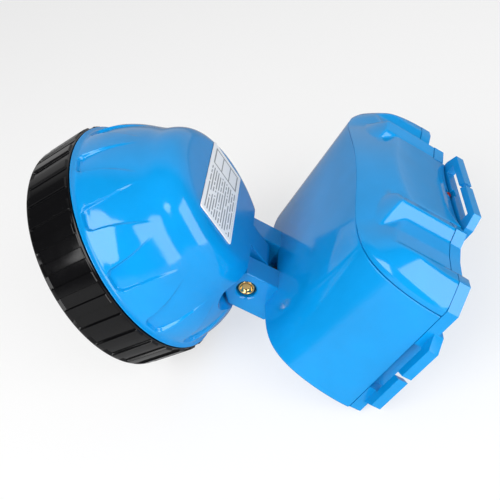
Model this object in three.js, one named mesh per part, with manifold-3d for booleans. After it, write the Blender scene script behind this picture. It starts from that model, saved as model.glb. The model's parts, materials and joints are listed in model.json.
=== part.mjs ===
// Miner's cap lamp: a tilting lamp head hinged to the front of a battery box that
// straps to a cap or forehead. Millimetres. The model is built in the box's own
// frame (hinge axis at the origin along X, front towards -Y, +Z up when worn) and
// is then leaned back so that it stands on the bezel and the box's rear bottom edge.

import * as THREE from 'three';
import { mergeVertices } from 'three/addons/utils/BufferGeometryUtils.js';
import Module from 'manifold-3d';

const wasm = await Module();
wasm.setup();

// ---------------------------------------------------------------- driving sizes
const GAP = 0.3; // clearance between pieces that touch
const WALL = 2.2; // moulded wall thickness

const BOX = {
  halfWidth: 55, frontY: 9.1, rearY: 39.7, sideExponent: 6.24, noseExponent: 1.72,
  bottomZ: 3.2, bottomDrop: 7, seamZ: 51.3, seamRise: 5, seamHalfWidth: 52,
};
const CAP = {
  floorZ: 63.5, crestZ: 65, crestX: 26.2, valleyZ: 59.2, shoulderZ: 61.2, channelX: 21,
  ridgeFrontY: 19.2, ridgeEndRise: 1.7, frontSlope: 0.6, cornerSlope: 1.11, cornerRim: 2.8,
  tongueX: 20.2, tongueRearY: 44.9, tongueBottomZ: 59.6, scoopY: 39.4, scoopSlope: 0.2,
};
const PLATE = { frontY: 40, rearY: 44.1 };
const LOOP = { bar: 3.2, split: 1.6, slant: 1.2 };
const TOP_LOOP = { baseX: 21, cornerX: 18.5, slotX: 15.5, rootZ: 54, cornerZ: 66.5, slotZ: 63.4,
  slotHeight: 3.2, topZ: 69.2, frontY: 45.2, rearY: 48.2 };
const SIDE_LOOP = { slotX: 51.2, barX: 55.9, outerX: 59.2, midZ: 27, baseHalf: 18.1, outerHalf: 14.6,
  slotHalf: 11.5, frontY: 42.4, rearY: 45.9, floorY: 41.2, wallX: 53.2 };
const LUG = { innerX: 7.2, outerX: 17.6, radius: 7.8, topZ: 7, bottomZ: -9 };
const LEAD_HOLE = { halfX: 6.9, lowZ: -1.8, highZ: 5.4 };
const INDICATOR = { x: -1.6, y: 44.3, lowZ: 57.4 };
const POST = { x: 46, lowZ: 10.2, highZ: 44, radius: 3.2, frontY: 16.6, rearY: 39.2 };
const SCREW = { headRadius: 2.8, headHeight: 2, shankRadius: 1.15, length: 14 };

const HEAD = { axisZ: 27.6, tiltDeg: 61, knuckleX: 6.2, knuckleRadius: 7.6, neckRadius: 40.3, rimA: 38 };
const RING = { rearA: 26.9, frontA: 46, rearRadius: 45, frontRadius: 44, grooveDepth: 0.8, ribs: 33,
  ribDeg: 5, firstRibDeg: 79.7,
  boreRadius: 40.8, lipRadius: 37.6, lipA: 43.3 };
const SWITCH = { a: 19, buttonRadius: 5.2, buttonEndX: 43, collarRadius: 7.6, collarInnerX: 39.6,
  collarEndX: 42.1, body: 11, bodyOuterX: 32.3, bodyInnerX: 28.2 };
const CELL = { radius: 9.2, length: 65, y: 27, lowZ: 16, highZ: 36.6 };
const SOCKET = { x: -38.2, y: 26, radius: 3.4, bore: 2.5, half: 4 };
const LABEL = { width: 42.8, height: 18.4, centreZ: 31.2, thickness: 0.3 };

// ---------------------------------------------------------------- materials
const finish = (color, roughness, metalness = 0) =>
  new THREE.MeshStandardMaterial({ color, roughness, metalness });
const BLUE = () => finish(0x0f97e6, 0.22);
const BLACK = () => finish(0x17181a, 0.38);
const STEEL = () => finish(0xb9bcc0, 0.35, 1);
const BRASS = () => finish(0xd8a648, 0.28, 1);
const NICKEL = () => finish(0xc9cbcc, 0.3, 1);
const GREEN_BOARD = () => finish(0x1d6b3a, 0.5);
const GREY_PLASTIC = () => finish(0x3b3e42, 0.55);

// ---------------------------------------------------------------- solids
// Merges shared vertices, drops slivers and turns the faces outwards.
function closed(geometry) {
  const bare = geometry.clone();
  bare.deleteAttribute('normal');
  bare.deleteAttribute('uv');
  const merged = mergeVertices(bare, 1e-4);
  const index = merged.index.array;
  const kept = [];
  for (let i = 0; i < index.length; i += 3) {
    const [a, b, c] = [index[i], index[i + 1], index[i + 2]];
    if (a !== b && b !== c && c !== a) kept.push(a, b, c);
  }
  merged.setIndex(kept);
  if (signedVolume(merged) < 0) {
    for (let i = 0; i < kept.length; i += 3) [kept[i], kept[i + 1]] = [kept[i + 1], kept[i]];
    merged.setIndex(kept);
  }
  return merged;
}

function signedVolume(geometry) {
  const position = geometry.attributes.position;
  const index = geometry.index.array;
  const [a, b, c] = [new THREE.Vector3(), new THREE.Vector3(), new THREE.Vector3()];
  let volume = 0;
  for (let i = 0; i < index.length; i += 3) {
    a.fromBufferAttribute(position, index[i]);
    b.fromBufferAttribute(position, index[i + 1]);
    c.fromBufferAttribute(position, index[i + 2]);
    volume += a.dot(b.cross(c)) / 6;
  }
  return volume;
}

function solid(geometry) {
  const { attributes, index } = closed(geometry);
  return new wasm.Manifold(new wasm.Mesh({
    numProp: 3,
    vertProperties: new Float32Array(attributes.position.array),
    triVerts: new Uint32Array(index.array),
  }));
}

function geometryOf(manifold) {
  const mesh = manifold.getMesh();
  const geometry = new THREE.BufferGeometry();
  const vertices = new Float32Array(mesh.vertProperties);
  geometry.setAttribute('position', new THREE.BufferAttribute(vertices, 3));
  geometry.setIndex(Array.from(mesh.triVerts));
  return geometry;
}

const union = (...pieces) => pieces.reduce((whole, piece) => whole.add(piece));
const cut = (body, ...tools) => tools.reduce((rest, tool) => rest.subtract(tool), body);

const outline = (points) => new THREE.Shape(points.map(([x, y]) => new THREE.Vector2(x, y)));
const flat = { bevelEnabled: false, steps: 1 };

// Prisms of a 2D outline: (x, y) raised along Z, (x, z) along Y, and (y, z) along X.
function prismZ(points, low, high) {
  const geometry = new THREE.ExtrudeGeometry(outline(points), { ...flat, depth: high - low });
  return solid(geometry.translate(0, 0, low));
}

function prismY(points, low, high) {
  const geometry = new THREE.ExtrudeGeometry(outline(points), { ...flat, depth: high - low });
  return solid(geometry.rotateX(Math.PI / 2).translate(0, high, 0));
}

function prismX(points, low, high) {
  const geometry = new THREE.ExtrudeGeometry(outline(points), { ...flat, depth: high - low });
  const turn = new THREE.Matrix4().makeBasis(
    new THREE.Vector3(0, 1, 0), new THREE.Vector3(0, 0, 1), new THREE.Vector3(1, 0, 0));
  return solid(geometry.applyMatrix4(turn).translate(low, 0, 0));
}

const block = (low, high) => prismZ(
  [[low[0], low[1]], [high[0], low[1]], [high[0], high[1]], [low[0], high[1]]], low[2], high[2]);

function rod(axis, radius, from, to, sides = 24) {
  const length = Math.abs(to - from);
  const middle = (from + to) / 2;
  const geometry = new THREE.CylinderGeometry(radius, radius, length, sides);
  if (axis === 'x') geometry.rotateZ(Math.PI / 2).translate(middle, 0, 0);
  if (axis === 'y') geometry.translate(0, middle, 0);
  if (axis === 'z') geometry.rotateX(Math.PI / 2).translate(0, 0, middle);
  return solid(geometry);
}

// A body of revolution from (r, a) points; a runs along the beam, towards -Y.
function turned(points, segments = 48) {
  const profile = points.map(([r, a]) => new THREE.Vector2(r, a));
  const geometry = new THREE.LatheGeometry(profile, segments);
  return solid(geometry.rotateX(Math.PI).translate(0, 0, HEAD.axisZ));
}

const loop = (points) => [...points, points[0]];

// ---------------------------------------------------------------- box surfaces
const smoothstep = (low, high, value) => THREE.MathUtils.smoothstep(value, low, high);

// D-shaped footprint, flat at the rear and full at the front.
function footprint(inset, rearY, steps = 17) {
  const width = BOX.halfWidth - inset;
  const depth = BOX.rearY - BOX.frontY - inset;
  const half = [];
  for (let i = 0; i <= steps; i += 1) {
    const angle = (Math.PI / 2) * (i / steps) ** 2.5;
    half.push([width * Math.sin(angle) ** (2 / BOX.sideExponent),
      BOX.rearY - depth * Math.cos(angle) ** (2 / BOX.noseExponent)]);
  }
  const left = half.slice(1).reverse().map(([x, y]) => [-x, y]);
  const rear = rearY > BOX.rearY ? [[width, rearY], [-width, rearY]] : [];
  return [...left, ...half, ...rear];
}

function edgeDistance(x, y) {
  let nearest = Infinity;
  const points = footprint(0, BOX.rearY);
  for (let i = 1; i < points.length; i += 1) {
    const [ax, ay] = points[i - 1];
    const [bx, by] = points[i];
    const span = (bx - ax) ** 2 + (by - ay) ** 2;
    const t = THREE.MathUtils.clamp(((x - ax) * (bx - ax) + (y - ay) * (by - ay)) / span, 0, 1);
    nearest = Math.min(nearest, Math.hypot(x - ax - t * (bx - ax), y - ay - t * (by - ay)));
  }
  const reach = (Math.abs(x) / BOX.halfWidth) ** BOX.sideExponent
    + (Math.max(0, BOX.rearY - y) / (BOX.rearY - BOX.frontY)) ** BOX.noseExponent;
  return reach > 1 ? -nearest : nearest;
}

function seamHeight(x) {
  const t = Math.min(1, Math.abs(x) / BOX.seamHalfWidth);
  return BOX.seamZ + BOX.seamRise * Math.cos((t * Math.PI) / 2) ** 2;
}

function bottomHeight(x, y) {
  const towardsFront = (BOX.rearY - y) / (BOX.rearY - BOX.frontY);
  return BOX.bottomZ - BOX.bottomDrop * (1 - (x / BOX.halfWidth) ** 2) * Math.max(0, towardsFront);
}

// The cap's cross profile: channel floor, ridge crest, scooped valley and shoulder.
const CROSS = [
  [0, CAP.floorZ], [CAP.channelX, CAP.floorZ], [CAP.crestX, CAP.crestZ], [29.6, 61.2],
  [35, 59.7], [41, CAP.valleyZ], [45, CAP.shoulderZ], [60, CAP.shoulderZ],
];

// The cap's top between the ridges and outside them, as if they weren't there.
const BETWEEN = [[0, CAP.floorZ], [20.5, CAP.floorZ], [22.5, 62.6], [27, 61.9], ...CROSS.slice(3)];

function crossHeight(ax) {
  const i = Math.max(1, BETWEEN.findIndex(([cx]) => cx >= ax));
  const [[x0, z0], [x1, z1]] = [BETWEEN[i - 1], BETWEEN[i]];
  return z0 + ((z1 - z0) * (ax - x0)) / (x1 - x0);
}

function ridgeHeight(ax) {
  const inner = CAP.floorZ + 0.288 * (ax - CAP.channelX);
  const outer = CAP.crestZ - 1.118 * (ax - CAP.crestX);
  return ax < CAP.channelX ? CAP.floorZ - 1.2 * (CAP.channelX - ax) : Math.min(inner, outer);
}

function capHeight(x, y) {
  const corner = smoothstep(30, 50, Math.abs(x));
  const slope = THREE.MathUtils.lerp(CAP.frontSlope, CAP.cornerSlope, corner);
  const rim = seamHeight(x) + GAP + CAP.cornerRim * corner;
  const front = rim + slope * Math.max(0, edgeDistance(x, Math.min(y, BOX.rearY)));
  const ridgeEnd = CAP.crestZ + CAP.ridgeEndRise * (y - CAP.ridgeFrontY);
  const ridge = Math.min(ridgeHeight(Math.abs(x)), ridgeEnd);
  const height = Math.max(Math.min(crossHeight(Math.abs(x)), front), ridge);
  const scoop = CAP.floorZ - CAP.scoopSlope * (y - CAP.scoopY);
  return Math.abs(x) <= CAP.channelX && y > CAP.scoopY ? Math.min(height, scoop) : height;
}

// A block over a grid of x and y lines between two height functions.
function terrain(xs, ys, lower, upper) {
  const vertices = [];
  const faces = [];
  for (const height of [lower, upper]) {
    for (const y of ys) for (const x of xs) vertices.push(x, y, height(x, y));
  }
  const layer = xs.length * ys.length;
  const at = (level, row, column) => level * layer + row * xs.length + column;
  const quad = (a, b, c, d) => faces.push(a, b, c, a, c, d);
  for (let r = 0; r + 1 < ys.length; r += 1) {
    for (let c = 0; c + 1 < xs.length; c += 1) {
      quad(at(1, r, c), at(1, r, c + 1), at(1, r + 1, c + 1), at(1, r + 1, c));
      quad(at(0, r, c), at(0, r + 1, c), at(0, r + 1, c + 1), at(0, r, c + 1));
    }
  }
  const [lastRow, lastColumn] = [ys.length - 1, xs.length - 1];
  for (let c = 0; c < lastColumn; c += 1) {
    quad(at(0, 0, c), at(0, 0, c + 1), at(1, 0, c + 1), at(1, 0, c));
    quad(at(0, lastRow, c + 1), at(0, lastRow, c), at(1, lastRow, c), at(1, lastRow, c + 1));
  }
  for (let r = 0; r < lastRow; r += 1) {
    quad(at(0, r + 1, 0), at(0, r, 0), at(1, r, 0), at(1, r + 1, 0));
    quad(at(0, r, lastColumn), at(0, r + 1, lastColumn), at(1, r + 1, lastColumn), at(1, r, lastColumn));
  }
  const geometry = new THREE.BufferGeometry();
  geometry.setAttribute('position', new THREE.BufferAttribute(new Float32Array(vertices), 3));
  geometry.setIndex(faces);
  return solid(geometry);
}

const mirrored = (values) => [...values.filter((v) => v > 0).reverse().map((v) => -v), ...values];
const CAP_X = mirrored([0, 10, 19.5, 21, 22.5, 24.3, 26.2, 27.8, 29.6, 32.2, 35, 38, 41, 43, 45, 46.8,
  48.6, 50.2, 51.6, 52.8, 53.8, 54.5, 56]);
const CAP_Y = [7, 9, 10.5, 12, 13.5, 15, 16.2, 17.3, 18.3, 19.2, 20.4, 21.6, 22.8, 24.2, 25.8, 27.6, 30,
  33, 37, 39.4, 46];
const WIDE_X = mirrored([0, 12, 24, 34, 42, 48, 52, 56]);
const DEPTH_Y = [7, 14, 22, 30, 39.7];

const halfTurn = (radius, from, to, steps = 10) => Array.from({ length: steps + 1 }, (_, i) => {
  const angle = THREE.MathUtils.degToRad(from + ((to - from) * i) / steps);
  return [radius * Math.cos(angle), radius * Math.sin(angle)];
});

// ---------------------------------------------------------------- box pieces
function underSeam(low) {
  const top = mirrored([0, 8, 16, 24, 32, 40, 46, 52, 60]).map((x) => [x, seamHeight(x)]);
  return prismY([[-60, low], [60, low], ...top.reverse()], 0, 50);
}

function frontShell() {
  const skin = prismZ(footprint(0, BOX.rearY), -6, 60).intersect(underSeam(-20))
    .intersect(terrain(WIDE_X, DEPTH_Y, bottomHeight, () => 80));
  const hollow = prismZ(footprint(WALL, 50), -6, 90)
    .intersect(terrain(WIDE_X, [...DEPTH_Y, 50], (x, y) => bottomHeight(x, y) + WALL, () => 85));
  const profile = [...halfTurn(LUG.radius, 116, 220), [-2.5, LUG.bottomZ], [12.6, LUG.bottomZ],
    [17.5, -1], [11, 1], [10.6, LUG.topZ]];
  const ear = prismX(profile, LUG.innerX, LUG.outerX);
  const chin = cut(ear, terrain(WIDE_X, [11.1, 22, 30], (x, y) => bottomHeight(x, y) + WALL - 0.5, () => 30));
  const posts = [-POST.x, POST.x].flatMap((x) => [POST.lowZ, POST.highZ].map((z) =>
    rod('y', POST.radius, POST.frontY, POST.rearY, 16).translate([x, 0, z])));
  const holes = [-POST.x, POST.x].flatMap((x) => [POST.lowZ, POST.highZ].map((z) =>
    rod('y', SCREW.shankRadius + GAP, POST.rearY - 12, POST.rearY + 1, 12).translate([x, 0, z])));
  const { halfX, lowZ, highZ } = LEAD_HOLE;
  return cut(
    union(cut(skin, hollow), chin, chin.mirror([1, 0, 0]), skin.intersect(union(...posts))),
    ...holes,
    rod('x', 2.2, -20, 20),
    rod('x', 4, 14.2, 20),
    rod('x', 3.5, -20, -14.2, 6),
    block([-halfX, 6, lowZ], [halfX, 14, highZ]),
    rod('z', SOCKET.radius + GAP, -5, 8).translate([SOCKET.x, SOCKET.y, 0]),
  );
}

function topCap() {
  const ceiling = terrain(CAP_X, CAP_Y, () => 45, capHeight);
  const tongue = block([-CAP.tongueX, 36, CAP.tongueBottomZ], [CAP.tongueX, CAP.tongueRearY, 70]);
  const skin = union(prismZ(footprint(0, BOX.rearY), 46, 70), tongue).intersect(ceiling);
  const under = underSeam(0).translate([0, 0, GAP]);
  const hollow = prismZ(footprint(WALL, 39.75), 40, 70)
    .intersect(terrain(CAP_X, CAP_Y, () => 40, (x, y) => capHeight(x, Math.min(y, 39)) - WALL));
  const lampNotch = block([INDICATOR.x - 1.9, 42.4, 55], [INDICATOR.x + 1.9, 50, 70]);
  return cut(skin, under, hollow, lampNotch);
}

// A strap loop's outline: a slot inside a frame whose outer bar is split on a slant.
function splitCut(along, from, to) {
  const { split, slant } = LOOP;
  const half = split / 2;
  const points = [[-half - slant, from], [half - slant, from], [half + slant, to], [-half + slant, to]];
  return along === 'x' ? points : points.map(([u, v]) => [v, u + SIDE_LOOP.midZ]);
}

function backPlate() {
  const rim = CROSS.slice(2, 7).map(([x, z]) => [x, z]);
  const notchTop = CAP.tongueBottomZ - GAP;
  const half = [[20.5, notchTop], [20.5, CAP.floorZ], ...rim, [48.6, CAP.shoulderZ], [55, 54.1],
    [55, 4.4], [53.8, BOX.bottomZ]];
  const sheet = prismY([...half, ...half.map(([x, z]) => [-x, z]).reverse()], PLATE.frontY, PLATE.rearY);

  const t = TOP_LOOP;
  const topFrame = prismY([[-t.baseX, t.rootZ], [t.baseX, t.rootZ], [t.baseX, t.cornerZ - 2],
    [t.cornerX, t.topZ], [-t.cornerX, t.topZ], [-t.baseX, t.cornerZ - 2]], t.frontY, t.rearY);
  const root = block([-t.baseX, 43, t.rootZ], [t.baseX, 46, notchTop]);
  const topSlot = block([-t.slotX, 40, t.slotZ], [t.slotX, 50, t.slotZ + t.slotHeight]);
  const topSplit = prismY(splitCut('x', t.slotZ + t.slotHeight - 0.5, t.topZ + 1), 40, 50);

  const s = SIDE_LOOP;
  const [low, high] = [s.midZ - s.slotHalf, s.midZ + s.slotHalf];
  const sideFrame = prismY([[50, s.midZ - s.baseHalf], [55, s.midZ - s.baseHalf],
    [s.outerX, s.midZ - s.outerHalf], [s.outerX, s.midZ + s.outerHalf],
    [55, s.midZ + s.baseHalf], [50, s.midZ + s.baseHalf]], s.frontY, s.rearY);
  const recess = union(block([s.slotX, s.floorY, low], [s.barX, 50, high]),
    block([s.wallX, 39, low], [s.barX, 50, high]));
  const sideSplit = prismY(splitCut('z', s.barX - 0.5, s.outerX + 1), 40, 50);
  const turnRound = (tool) => [tool, tool.mirror([1, 0, 0])];

  const screwSeats = [-POST.x, POST.x].flatMap((x) => [POST.lowZ, POST.highZ].flatMap((z) => [
    rod('y', SCREW.shankRadius + GAP, 39, 46, 12).translate([x, 0, z]),
    rod('y', SCREW.headRadius + GAP, PLATE.rearY - 2.4, 46, 16).translate([x, 0, z])]));
  return cut(
    union(sheet, root, topFrame, ...turnRound(sideFrame)),
    topSlot, topSplit, ...turnRound(recess), ...turnRound(sideSplit), ...screwSeats,
    block([INDICATOR.x - 2.1, 39, INDICATOR.lowZ], [INDICATOR.x + 2.1, 46.3, 65]),
  );
}

function plateScrew() {
  const { headRadius, headHeight, shankRadius, length } = SCREW;
  const top = PLATE.rearY - 0.1;
  const head = rod('y', headRadius, top - headHeight, top, 16);
  const shank = rod('y', shankRadius, top - length, top - headHeight + 0.2, 10);
  const cross = union(block([-1.6, top - 0.9, -0.4], [1.6, top + 1, 0.4]),
    block([-0.4, top - 0.9, -1.6], [0.4, top + 1, 1.6]));
  return cut(union(head, shank), cross);
}

const cellRod = (radius, z, half) => rod('x', radius, -half, half, 28).translate([0, CELL.y, z]);

function batteryCell(z) {
  const half = CELL.length / 2;
  return union(cellRod(CELL.radius, z, half - 0.6), rod('x', 3, half - 1, half).translate([0, CELL.y, z]));
}

function cellHolder() {
  const frame = union(block([-30, 16.4, 5.4], [-20, 38.6, 47]), block([20, 16.4, 5.4], [30, 38.6, 47]),
    block([-30, 37, 10], [30, 38.6, 42]));
  return cut(frame, cellRod(CELL.radius + GAP, CELL.lowZ, 40), cellRod(CELL.radius + GAP, CELL.highZ, 40));
}

function contactStrip(side) {
  const x = side * (CELL.length / 2 + 0.6);
  return block([x - 0.25, CELL.y - 4, CELL.lowZ - 5], [x + 0.25, CELL.y + 4, CELL.highZ + 5]);
}

function chargerBoard() {
  const board = block([-26, 19, 50.2], [26, 37.5, 51.8]);
  const parts = [[-20, 22, 8, 7, 4], [-7, 23, 6, 5, 2.4], [6, 22, 10, 8, 5], [19, 24, 5, 9, 3]];
  return union(board, ...parts.map(([x, y, w, d, h]) =>
    block([x - w / 2, y, 51.7], [x + w / 2, y + d, 51.8 + h])));
}

function chargeLed() {
  const profile = [[0, 0], [1.5, 0], [1.5, 3.2], [1.3, 4], [0.8, 4.6], [0, 4.8]];
  const points = profile.map(([r, z]) => new THREE.Vector2(r, z));
  return solid(new THREE.LatheGeometry(points, 16).rotateX(Math.PI / 2))
    .translate([INDICATOR.x, INDICATOR.y, INDICATOR.lowZ + 0.4]);
}

function chargeSocket() {
  const { x, y, radius, bore, half } = SOCKET;
  const bottom = bottomHeight(x, y);
  const collar = block([-half, -half, bottom + WALL + 1.3], [half, half, bottom + 9]);
  const barrel = union(rod('z', radius, bottom + 0.2, bottom + 8), collar);
  const pin = rod('z', 0.9, bottom + 1.5, bottom + 8, 12);
  return union(cut(barrel, rod('z', bore, bottom - 1, bottom + 7.5)), pin).translate([x, y, 0]);
}

// Two-core lead, round, that comes out of the box between the ears.
function lampLead() {
  const curve = new THREE.CatmullRomCurve3([[0, 15, 1.7], [0, 12, 1.7], [0, 9, 1.6], [0, 7.4, 0.2],
    [0, 6.4, -2]].map((p) => new THREE.Vector3(...p)));
  const section = outline(halfTurn(1.1, 0, 324, 9));
  return solid(new THREE.ExtrudeGeometry(section, { steps: 9, bevelEnabled: false, extrudePath: curve }));
}

// ---------------------------------------------------------------- head pieces
const HOUSING_OUTER = [
  [0, -7.1], [22.5, -7.1], [25.4, -6.6], [28, -5.2], [29.9, -3.3], [31, -0.8], [32, 2], [33, 4],
  [34.3, 6], [35.7, 8], [37, 10], [38.2, 12], [39.7, 15], [40.9, 18], [41.9, 22], [42.5, 25.4],
  [44, 26.6],
];
const HOUSING_INNER = [[38, HEAD.rimA], [38, 26], [36, 19], [33, 13.4], [17, 13.4], [17, -4.4], [0, -4.4]];

function headHousing() {
  const shell = turned([...HOUSING_OUTER, [HEAD.neckRadius, 26.6], [HEAD.neckRadius, HEAD.rimA],
    ...HOUSING_INNER], 72);
  const web = [...halfTurn(HEAD.knuckleRadius, -180, 0, 12), [7.6, 9], [-4.7, 10.1], [-5.6, 14], [-6.9, 12]];
  const knuckle = prismX(web.map(([y, z]) => [-y, z]).reverse(), -HEAD.knuckleX, HEAD.knuckleX);
  const clear = LUG.radius + 2;
  const open = LUG.radius + 1.4;
  const notch = [[30, 8.2], [0, 8.2], ...halfTurn(clear, 118, 180, 6), [-clear, -40], [30, -40]];
  const wideNotch = [[30, open], ...halfTurn(open, 90, 180, 10), [-open, -40], [30, -40]];
  const side = SWITCH;
  const bay = (outline, low, high) => prismX([...outline].reverse(), low, high);
  const room = union(bay(notch, HEAD.knuckleX, LUG.outerX + 0.7), bay(wideNotch, LUG.outerX + 0.5, 32));
  const button = (radius, from, to) => rod('x', radius, from, to, 32)
    .translate([0, -side.a, HEAD.axisZ]);
  const groove = cut(rod('x', 9, -1.6, 1.6), rod('x', 4.2, -2, 2));
  const lowerHalf = block([-3, -5.5, -12], [3, 12, 7.5]);
  return cut(
    union(cut(shell, room, room.mirror([1, 0, 0])), knuckle),
    button(side.buttonRadius + GAP, -side.buttonEndX - 4, -30),
    button(side.collarRadius + GAP, -side.buttonEndX - 4, -side.collarInnerX + GAP),
    rod('x', 2.2, -20, 20),
    groove.intersect(lowerHalf),
  );
}

// A closed solid through equal rings of points, its two ends closed with flat fans.
function lofted(rings) {
  const count = rings[0].length;
  const faces = [];
  for (let r = 0; r + 1 < rings.length; r += 1) {
    for (let i = 0; i < count; i += 1) {
      const j = (i + 1) % count;
      const [low, high] = [r * count, (r + 1) * count];
      faces.push(low + i, low + j, high + j, low + i, high + j, high + i);
    }
  }
  const points = rings.flat();
  for (const [start, flip] of [[0, true], [(rings.length - 1) * count, false]]) {
    const end = points.slice(start, start + count);
    const centre = points.push([0, 1, 2].map((k) => end.reduce((sum, v) => sum + v[k], 0) / count)) - 1;
    for (let i = 0; i < count; i += 1) {
      const j = (i + 1) % count;
      faces.push(centre, start + (flip ? j : i), start + (flip ? i : j));
    }
  }
  const geometry = new THREE.BufferGeometry();
  geometry.setAttribute('position', new THREE.BufferAttribute(new Float32Array(points.flat()), 3));
  geometry.setIndex(faces);
  return solid(geometry);
}

// Screw-on collar with broad raised ribs all round, tapering a little to the front.
function bezelRing() {
  const { ribs, ribDeg, firstRibDeg, rearRadius, frontRadius, grooveDepth, rearA, frontA } = RING;
  const pitch = 360 / ribs;
  const half = ribDeg / 2;
  const stations = [[rearA, rearRadius, 1], [frontA - 1, frontRadius, 1], [frontA, frontRadius - 1, 0]];
  const rings = stations.map(([a, radius, depth]) => {
    const ring = [];
    for (let i = 0; i < ribs; i += 1) {
      for (const [step, drop] of [[-half, 0], [half, 0], [half + 0.6, 1], [pitch - half - 0.6, 1]]) {
        const angle = THREE.MathUtils.degToRad(90 - firstRibDeg + i * pitch + step);
        const reach = radius - drop * depth * grooveDepth;
        ring.push([reach * Math.cos(angle), -a, HEAD.axisZ + reach * Math.sin(angle)]);
      }
    }
    return ring;
  });
  const bore = turned([[0, rearA - 1], [RING.boreRadius, rearA - 1], [RING.boreRadius, RING.lipA],
    [RING.lipRadius, RING.lipA], [RING.lipRadius + 1, frontA + 1], [0, frontA + 1]], 72);
  return cut(lofted(rings), bore);
}

const lens = () => turned([[0, 40.9], [40.2, 40.9], [40.2, 42.8], [34, 43], [0, 43.2]], 64);
const lensGasket = () => turned(loop([[38.1, 39.2], [40, 39.2], [40, 40.6], [38.1, 40.6]]), 64);

function reflector() {
  const dish = (a) => Math.sqrt(47.1 * (a - 9.74));
  const stations = [10.7, 12, 14, 17, 21, 26, 32, 38.3];
  const inside = stations.map((a) => [dish(a), a]);
  const outside = stations.slice(0, -1).reverse().map((a) => [dish(a) + 1.2, a + 0.01]);
  return turned(loop([...inside, [36.9, 38.9], [40, 38.9], [40, 38.3], [37.9, 38.3], ...outside]), 48);
}

function heatSink() {
  const profile = [[0, -4.1], [15, -4.1], [15.6, -3.5]];
  for (const a of [-2, 0.6, 3.2]) profile.push([15.6, a - 0.6], [12, a - 0.6], [12, a + 0.6], [15.6, a + 0.6]);
  return turned([...profile, [15.6, 6.8], [15, 7.4], [0, 7.4]], 36);
}

const ledBoard = () => turned([[0, 7.7], [9.5, 7.7], [9.5, 9.3], [0, 9.3]], 24);
const ledEmitter = () => turned([[0, 9.6], [3.4, 9.6], [3.4, 10.4], [2.5, 10.5], [2.3, 11.6],
  [1.5, 12.5], [0, 12.9]], 20);

function switchPiece(radius, from, to) {
  return rod('x', radius, -to, -from, 28).translate([0, -SWITCH.a, HEAD.axisZ]);
}

function switchButton() {
  const stem = switchPiece(3, SWITCH.bodyOuterX + 1.6, 37);
  return union(stem, switchPiece(SWITCH.buttonRadius, 36.8, SWITCH.buttonEndX - 0.6),
    switchPiece(SWITCH.buttonRadius - 0.7, SWITCH.buttonEndX - 1, SWITCH.buttonEndX));
}

const switchCollar = () => cut(
  switchPiece(SWITCH.collarRadius, SWITCH.collarInnerX, SWITCH.collarEndX),
  switchPiece(SWITCH.buttonRadius + GAP, 30, 50));

function switchBody() {
  const half = SWITCH.body / 2;
  return block([-SWITCH.bodyOuterX, -SWITCH.a - half, HEAD.axisZ - half],
    [-SWITCH.bodyInnerX, -SWITCH.a + half, HEAD.axisZ + half]);
}

function rearLabel() {
  const front = 7.1 + 0.25;
  return block([-LABEL.width / 2, front, LABEL.centreZ - LABEL.height / 2],
    [LABEL.width / 2, front + LABEL.thickness, LABEL.centreZ + LABEL.height / 2]);
}

// ---------------------------------------------------------------- hinge hardware
function hingeScrew() {
  const head = union(rod('x', 3, 14.5, 16.2), rod('x', 2.3, 16, 16.8));
  return cut(union(rod('x', 1.9, -16.4, 14.8), head), block([16.2, -3, -0.4], [18, 3, 0.4]));
}
const hingeNut = () => cut(rod('x', 3.2, -16.9, -14.5, 6), rod('x', 2.2, -20, 0));
const hingeWasher = () => cut(rod('x', 5.4, 6.45, 6.95), rod('x', 2.2, 0, 10));

// ---------------------------------------------------------------- assembly
function add(group, name, manifold, material) {
  const mesh = new THREE.Mesh(geometryOf(manifold), material);
  mesh.name = name;
  group.add(mesh);
  return mesh;
}

const box = new THREE.Group();
add(box, 'front_shell', frontShell(), BLUE());
add(box, 'top_cap', topCap(), BLUE());
add(box, 'back_plate', backPlate(), BLUE());
add(box, 'battery_cell_lower', batteryCell(CELL.lowZ), finish(0x2f8f58, 0.35));
add(box, 'battery_cell_upper', batteryCell(CELL.highZ), finish(0x2f8f58, 0.35));
add(box, 'cell_holder', cellHolder(), GREY_PLASTIC());
add(box, 'contact_strip_near', contactStrip(1), NICKEL());
add(box, 'contact_strip_far', contactStrip(-1), NICKEL());
add(box, 'charger_board', chargerBoard(), GREEN_BOARD());
add(box, 'charge_led', chargeLed(), finish(0xb01510, 0.2));
add(box, 'charge_socket', chargeSocket(), BLACK());
add(box, 'lamp_lead', lampLead(), BLACK());
add(box, 'hinge_screw', hingeScrew(), BRASS());
add(box, 'hinge_nut', hingeNut(), BRASS());
add(box, 'hinge_washer_near', hingeWasher(), STEEL());
add(box, 'hinge_washer_far', hingeWasher().mirror([1, 0, 0]), STEEL());
let screwNumber = 0;
for (const x of [-POST.x, POST.x]) {
  for (const z of [POST.lowZ, POST.highZ]) {
    screwNumber += 1;
    add(box, `plate_screw_${screwNumber}`, plateScrew(), STEEL()).position.set(x, 0, z);
  }
}

const head = new THREE.Group();
head.rotation.x = THREE.MathUtils.degToRad(HEAD.tiltDeg);
add(head, 'head_housing', headHousing(), BLUE());
add(head, 'bezel_ring', bezelRing(), BLACK());
add(head, 'lens', lens(), finish(0xe8f1f5, 0.05));
add(head, 'lens_gasket', lensGasket(), finish(0x0c0c0d, 0.8));
add(head, 'reflector', reflector(), finish(0xdfe3e6, 0.08, 1));
add(head, 'heat_sink', heatSink(), finish(0xa9adb2, 0.45, 1));
add(head, 'led_board', ledBoard(), finish(0xe9ebe8, 0.5));
add(head, 'led_emitter', ledEmitter(), finish(0xf2dc62, 0.15));
add(head, 'switch_body', switchBody(), GREY_PLASTIC());
add(head, 'switch_button', switchButton(), finish(0x1b1c1e, 0.7));
add(head, 'switch_collar', switchCollar(), BLACK());
add(head, 'rear_label', rearLabel(), finish(0xf3f3f1, 0.45));
box.add(head);

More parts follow.
